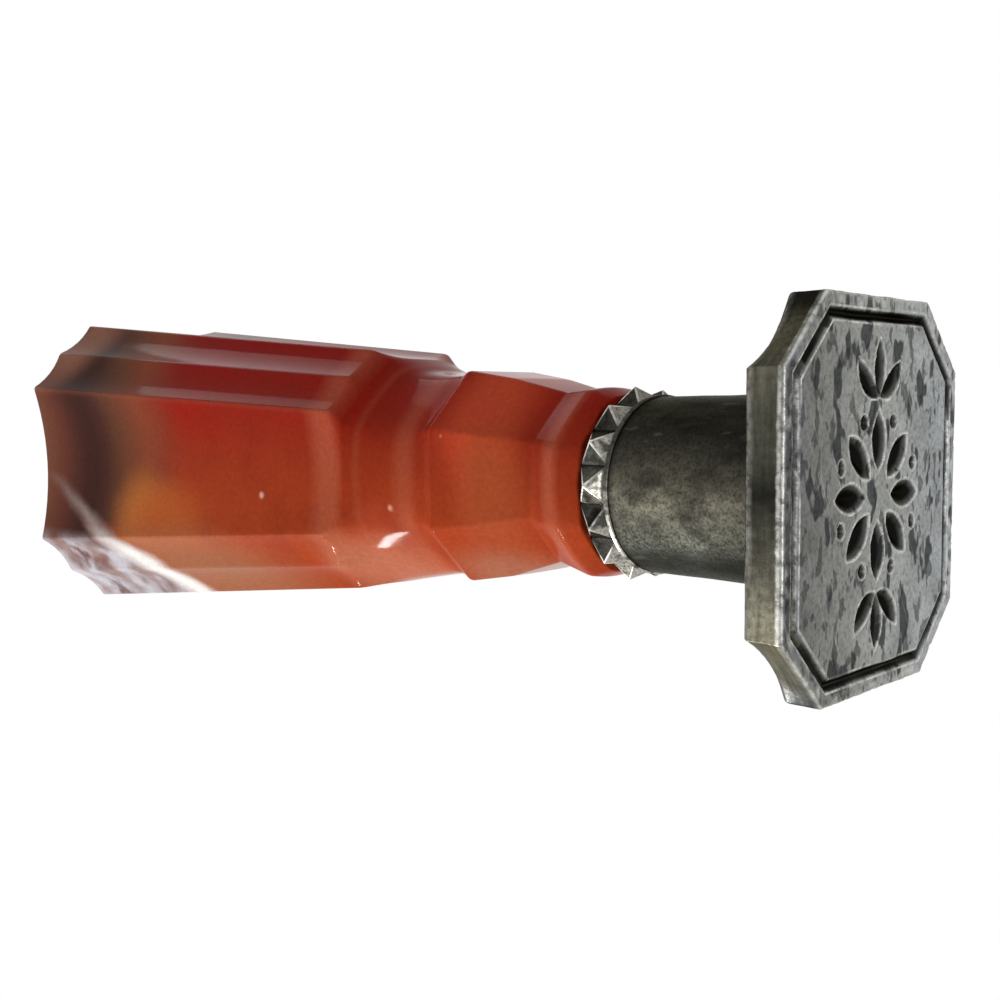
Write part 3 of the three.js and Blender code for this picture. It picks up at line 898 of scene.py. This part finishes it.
def silverMaterial(name, finish):
    # silver, cast, filed and rubbed bright for a century: satin grey, clouded by dark spots of tarnish,
    # black where no cloth reaches, and bright where edges are worn or cut. Part of its tone across each piece
    # is painted light and shade, and so is the darkening the ferrule and collar carry in their attribute.
    material, tree, shader = newMaterial(name)
    place = millimetres(tree)
    axes = addNode(tree, "SeparateXYZ", [place]).outputs
    share = addNode(tree, "MapRange", [axes[finish["along"]], *span(finish["tones"])])
    colour = addNode(tree, "ValToRGB", [share], spread(finish["tones"]))

    # broad clouds of thicker and thinner tarnish
    cloud = addNode(tree, "TexNoise", {"Vector": place, **tarnish["cloudNoise"]})
    tint = addNode(tree, "MapRange", [cloud, *tarnish["cloudRange"]])
    colour = addNode(tree, "VectorMath", [colour, tint], operation="SCALE")

    # spots of tarnish with sharp edges, large and small
    turned = addNode(tree, "Mapping", {"Vector": place, "Rotation": (0, 0, tarnish["spotTurn"]),
                                       "Scale": finish["blotchStretch"]})
    for scale, amount in tarnish["spotLayers"]:
        spots = addNode(tree, "TexNoise", {"Vector": turned, "Scale": finish["blotchScale"] * scale,
                                           **tarnish["spotNoise"]})
        share = addNode(tree, "MapRange", [spots, *finish["blotchRange"], amount])
        colour = addNode(tree, "Mix", [share, colour, finish["blotch"]])

    # fine mottling, and scratches in two directions
    fine = addNode(tree, "TexNoise", {"Vector": place, "Scale": finish["fineScale"], **tarnish["fineNoise"]})
    mottled = addNode(tree, "MapRange", [fine, *tarnish["fineRange"], finish["fineShare"]])
    colour = addNode(tree, "Mix", [mottled, colour, finish["dark"]])
    for turn, tone, amount in ((finish["streakTurn"], finish["bright"], tarnish["brightStreaks"]),
                               (tarnish["darkTurn"], finish["dark"], tarnish["darkStreaks"])):
        turned = addNode(tree, "Mapping", {"Vector": place, "Rotation": (0, 0, turn)})
        drawn = addNode(tree, "VectorMath", [turned, finish["streakStretch"]], operation="MULTIPLY")
        streaks = addNode(tree, "TexNoise", {"Vector": drawn, **tarnish["streakNoise"]})
        share = addNode(tree, "MapRange", [streaks, *tarnish["streakRange"], amount * finish["streakShare"]])
        colour = addNode(tree, "Mix", [share, colour, tone])

    # the sides of a plate see less of the cloth than its face, and their tone along X is painted light and
    # shade
    if "sideTones" in finish:
        share = addNode(tree, "MapRange", [axes["X"], *span(finish["sideTones"])])
        sides = addNode(tree, "ValToRGB", [share], spread(finish["sideTones"]))
        brushed = addNode(tree, "Mapping", {"Vector": place, "Scale": tarnish["sideStretch"]})
        brushed = addNode(tree, "TexNoise", {"Vector": brushed, **tarnish["sideNoise"]})
        tint = addNode(tree, "MapRange", [brushed, *tarnish["sideRange"]])
        sides = addNode(tree, "VectorMath", [sides, tint], operation="SCALE")
        sides = addNode(tree, "Mix", [mottled, sides, finish["dark"]])
        share = addNode(tree, "MapRange", [axes["Z"], *tarnish["sideStart"]])
        colour = addNode(tree, "Mix", [share, colour, sides])

    # black in the cuts, painted shade on the ferrule and collar, bright on worn edges
    patinaAndShade = addNode(tree, "Attribute", attribute_name="patinaAndShade").outputs["Fac"]
    colour = addNode(tree, "Mix", [patinaAndShade, colour, finish["dark"]])
    worn = addNode(tree, "Attribute", attribute_name="worn").outputs["Fac"]
    broken = addNode(tree, "TexNoise", {"Vector": place, **tarnish["wornNoise"]})
    broken = addNode(tree, "MapRange", [broken, *tarnish["wornRange"]])
    share = addNode(tree, "Math", [broken, worn], operation="MULTIPLY")
    colour = addNode(tree, "Mix", [share, colour, finish["bright"]])

    rough = addNode(tree, "MapRange", [fine, *finish["roughness"]])
    grain = addNode(tree, "Bump", {"Strength": tarnish["grainStrength"], "Height": fine,
                                   "Distance": tarnish["grainHeight"] * mm})
    fillInputs(shader, {"Base Color": colour, "Roughness": rough, "Normal": grain, "Metallic": 1.0,
                        "Specular Tint": finish["glance"]})
    return material


buildPlate(silverMaterial("worn_engraved_silver", plateFinish))

print("stage: ferrule, solder and collar")

ferrule = {
    "radius": 5.6,
    "bore": 4.85,
    "foot": 2.3,
    "top": 14.35,
    "rounds": 128,
    "levels": 24,
    "uneven": (0.05, 0.35),  # mm, scale per mm: a hand-worked tube is never quite round
    # painted contact shade at the foot and under the collar
    "contactShade": 0.65,
    "footShade": (6.0, 4.5),  # mm above the foot where the painted shade ends, and over how many it fills
    "topShade": 0.5,
}


def spun(bm, outline):
    # turns a closed outline of (radius, height) round Z
    verts = [bm.verts.new((radius, 0, height)) for radius, height in outline]
    edges = [bm.edges.new((verts[i - 1], verts[i])) for i in range(len(verts))]
    bmesh.ops.spin(bm, geom=verts + edges, cent=(0, 0, 0), axis=(0, 0, 1), angle=2 * math.pi,
                   steps=ferrule["rounds"], use_merge=True)


def outwardFrom(vert):
    return Vector((vert.co.x, vert.co.y, 0)).normalized()


def buildFerrule(material):
    bm = bmesh.new()
    patinaAndShadeLayer, = pointLayers(bm, "patinaAndShade")
    foot, top, count = ferrule["foot"], ferrule["top"], ferrule["levels"]
    wall = [(ferrule["radius"], foot + (top - foot) * i / count) for i in range(count + 1)]
    spun(bm, [(ferrule["bore"], foot), *wall, (ferrule["bore"], top)])
    amount, scale = ferrule["uneven"]
    reach, filled = ferrule["footShade"]
    for vert in bm.verts:
        if foot + 0.1 < vert.co.z < top - 0.1:
            vert.co += outwardFrom(vert) * amount * noise.noise(vert.co * scale)
        # painted shade in the corners at the solder and under the collar
        nearFoot = (foot + reach - vert.co.z) / filled
        nearTop = (vert.co.z - top + ferrule["topShade"]) / ferrule["topShade"]
        vert[patinaAndShadeLayer] = ferrule["contactShade"] * clamp(max(nearFoot, nearTop))
    finishPiece(bm, "ferrule_tube_worn", material, "ferrule_tube", 40)


fillet = {"leg": 0.9, "gap": 0.06, "steps": 8}  # mm, and the gap is the one between it and the tube


def buildFillet(material):
    bm = bmesh.new()
    foot, inner, leg = ferrule["foot"], ferrule["radius"] + fillet["gap"], fillet["leg"]
    outline = [(inner, foot), (inner + leg, foot)]
    for step in range(1, fillet["steps"] + 1):
        angle = step / fillet["steps"] * math.pi / 2
        outline.append((inner + leg * (1 - math.sin(angle)), foot + leg * (1 - math.cos(angle))))
    spun(bm, outline)
    finishPiece(bm, "solder_seam", material, "solder_fillet", 50)


collar = {
    "rimRadius": 5.72,
    "rimHeight": 0.35,
    "rimLip": 0.06,
    "top": 16.9,
    "teeth": 14,
    "notchRadius": 5.35,
    "tipRadius": 6.35,
    "tipUneven": 0.1,
    "tipLean": 0.12,
    "ridge": 0.05,
    "rubbed": 0.09,  # mm, bright border of each facet
    "turn": 2.5,  # degrees
    # painted shade, with tarnish, on the facets that don't face down
    "facetTarnishAndShade": 0.82,
    "facetMottle": (0.075, 4),  # share, scale per mm
    "rimTarnishAndShade": (0.7, 0.2, 0.1, 0.85),  # tarnish share, how much more per mm along X as painted shade, lightest, darkest
    "seed": 8,
}


def buildCollar(material):
    draw = np.random.default_rng(collar["seed"])
    bm = bmesh.new()
    patinaAndShadeLayer, wornLayer = pointLayers(bm, "patinaAndShade", "worn")
    rimTop = ferrule["top"] + collar["rimHeight"]
    ring = bmesh.ops.create_circle(bm, segments=collar["teeth"], radius=collar["notchRadius"])["verts"]
    turn = math.radians(collar["turn"]) - math.atan2(ring[0].co.y, ring[0].co.x)
    bmesh.ops.rotate(bm, verts=ring, cent=(0, 0, 0), matrix=Matrix.Rotation(turn, 3, "Z"))
    bmesh.ops.translate(bm, verts=ring, vec=(0, 0, rimTop))
    first = list(bm.edges)
    loop, edges = growRim(bm, ring, first)
    for vert in loop:
        vert.co.z = collar["top"]

    # Each side of the ring is drawn out to a pyramid tooth. The teeth are taken by angle, because the
    # order of new faces differs from run to run.
    peaks = bmesh.ops.poke(bm, faces=list(bm.faces))["verts"]
    peaks = sorted(peaks, key=lambda vert: math.atan2(vert.co.y, vert.co.x))
    uneven, slack = collar["tipUneven"], collar["tipLean"]
    for vert in peaks:
        outward = outwardFrom(vert)
        tip = collar["tipRadius"] + draw.uniform(-uneven, uneven)
        lean = draw.uniform(-slack, slack)
        vert.co = outward * tip + Vector((-outward.y, outward.x, 0)) * lean
        vert.co.z = (rimTop + collar["top"]) / 2 + draw.uniform(-uneven, uneven)
        vert[wornLayer] = 1.0
    for vert in list(ring) + loop:
        vert[patinaAndShadeLayer] = 1.0
    inside = []
    for rim, rimEdges, level in ((ring, first, rimTop), (loop, edges, collar["top"])):
        inner, innerEdges = growRim(bm, rim, rimEdges)
        for vert in inner:
            vert.co = outwardFrom(vert) * ferrule["bore"]
            vert.co.z = level
        inside += innerEdges
    bmesh.ops.bridge_loops(bm, edges=inside)
    ridges = [e for v in peaks for e in v.link_edges]
    bmesh.ops.bevel(bm, geom=ridges, offset=collar["ridge"], offset_type="OFFSET", segments=2, profile=0.5,
                    affect="EDGES", clamp_overlap=True, material=-1)

    # the facets keep their tarnish up to a narrow rubbed border, with painted light and shade by which way
    # they face
    facets = [f for f in bm.faces if f.calc_area() > 0.25 and len(f.verts) <= 5 and abs(f.normal.z) < 0.95]
    bmesh.ops.inset_individual(bm, faces=facets, thickness=collar["rubbed"], depth=0)
    mottle, scale = collar["facetMottle"]
    for facet in facets:
        shaded = 0.0 if facet.normal.z < -0.3 else collar["facetTarnishAndShade"]  # painted light: facets facing down, towards the lamps, stay bright
        for vert in facet.verts:
            vert[wornLayer] = 0.0
            vert[patinaAndShadeLayer] = shaded + mottle * (1 + noise.noise(vert.co * scale))
    bore, radius, lip, foot = ferrule["bore"], collar["rimRadius"], collar["rimLip"], ferrule["top"]
    spun(bm, [(bore, foot), (radius - lip, foot), (radius, foot + lip), (radius, rimTop - lip),
              (radius - lip, rimTop), (bore, rimTop)])
    # tarnish on the rim, with painted shade growing towards +X
    share, slope, *limits = collar["rimTarnishAndShade"]
    for vert in bm.verts:
        if math.hypot(vert.co.x, vert.co.y) > ferrule["radius"] and vert.co.z < rimTop + 0.001:
            vert[patinaAndShadeLayer] = clamp(share + slope * vert.co.x, *limits)
    finishPiece(bm, "toothed_collar_worn", material, "toothed_collar", 20)


ferruleFinish = {
    "along": "X",
    # tones across X: tarnish with painted light and shade, lightest in a band near the middle and darkest at
    # +X, away from the lamps
    "tones": [
        (-5.6, "#333637"), (-3, "#373833"), (-0.5, "#686558"), (2, "#423f37"), (3.4, "#1b1a16"),
        (5, "#080807"),
    ],
    "dark": "#0e0e0c",
    "fineScale": 5.5,
    "fineShare": 0.84,
    "blotch": "#262622",
    "blotchScale": 0.7,
    "blotchStretch": (1.0, 1.0, 0.6),
    "blotchRange": (0.46, 0.72, 0),
    "streakStretch": (1.5, 1.5, 0.8),
    "streakTurn": 0.9,
    "streakShare": 0.12,
    "bright": "#8a8779",
    "glance": "#c8c6c0",
    "roughness": (0.3, 0.7, 0.34, 0.55),
}
# The collar and solder tones darken towards +X: painted shade on the side turned from the lamps.
collarFinish = dict(ferruleFinish, tones=[(-6, "#c2bfb5"), (0, "#bab7ac"), (6, "#7c796f")], blotch="#33322d",
                    blotchRange=(0.56, 0.64, 0), bright="#dcdad0", roughness=(0.3, 0.7, 0.26, 0.45))
solderFinish = dict(ferruleFinish, tones=[(-6, "#4a4944"), (6, "#2c2b27")], roughness=(0.3, 0.7, 0.45, 0.6))

buildFerrule(silverMaterial("oxidised_silver_tube", ferruleFinish))
buildFillet(silverMaterial("dull_solder", solderFinish))
buildCollar(silverMaterial("filed_silver_collar", collarFinish))

cement = {
    "gritNoise": {"Scale": 2.5, "Detail": 4.0},  # per mm
    "tones": [(0.3, "#8f8168"), (0.7, "#c4b69b")],
    "roughness": 0.9,
    "gritHeight": 0.1,  # mm
    "gritStrength": 0.6,
}

# resin cement, poured rough: matt, buff and gritty. It is hidden in the ferrule.
material, tree, shader = newMaterial("filled_resin_cement")
grit = addNode(tree, "TexNoise", {"Vector": millimetres(tree), **cement["gritNoise"]})
tone = addNode(tree, "ValToRGB", [grit], cement["tones"])
bump = addNode(tree, "Bump", {"Strength": cement["gritStrength"], "Distance": cement["gritHeight"] * mm,
                              "Height": grit})
fillInputs(shader, {"Base Color": tone, "Roughness": cement["roughness"], "Normal": bump})
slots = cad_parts["cement_fill"].data.materials
slots.clear()
slots.append(material)

bpy.context.scene.view_settings.view_transform = "Standard"
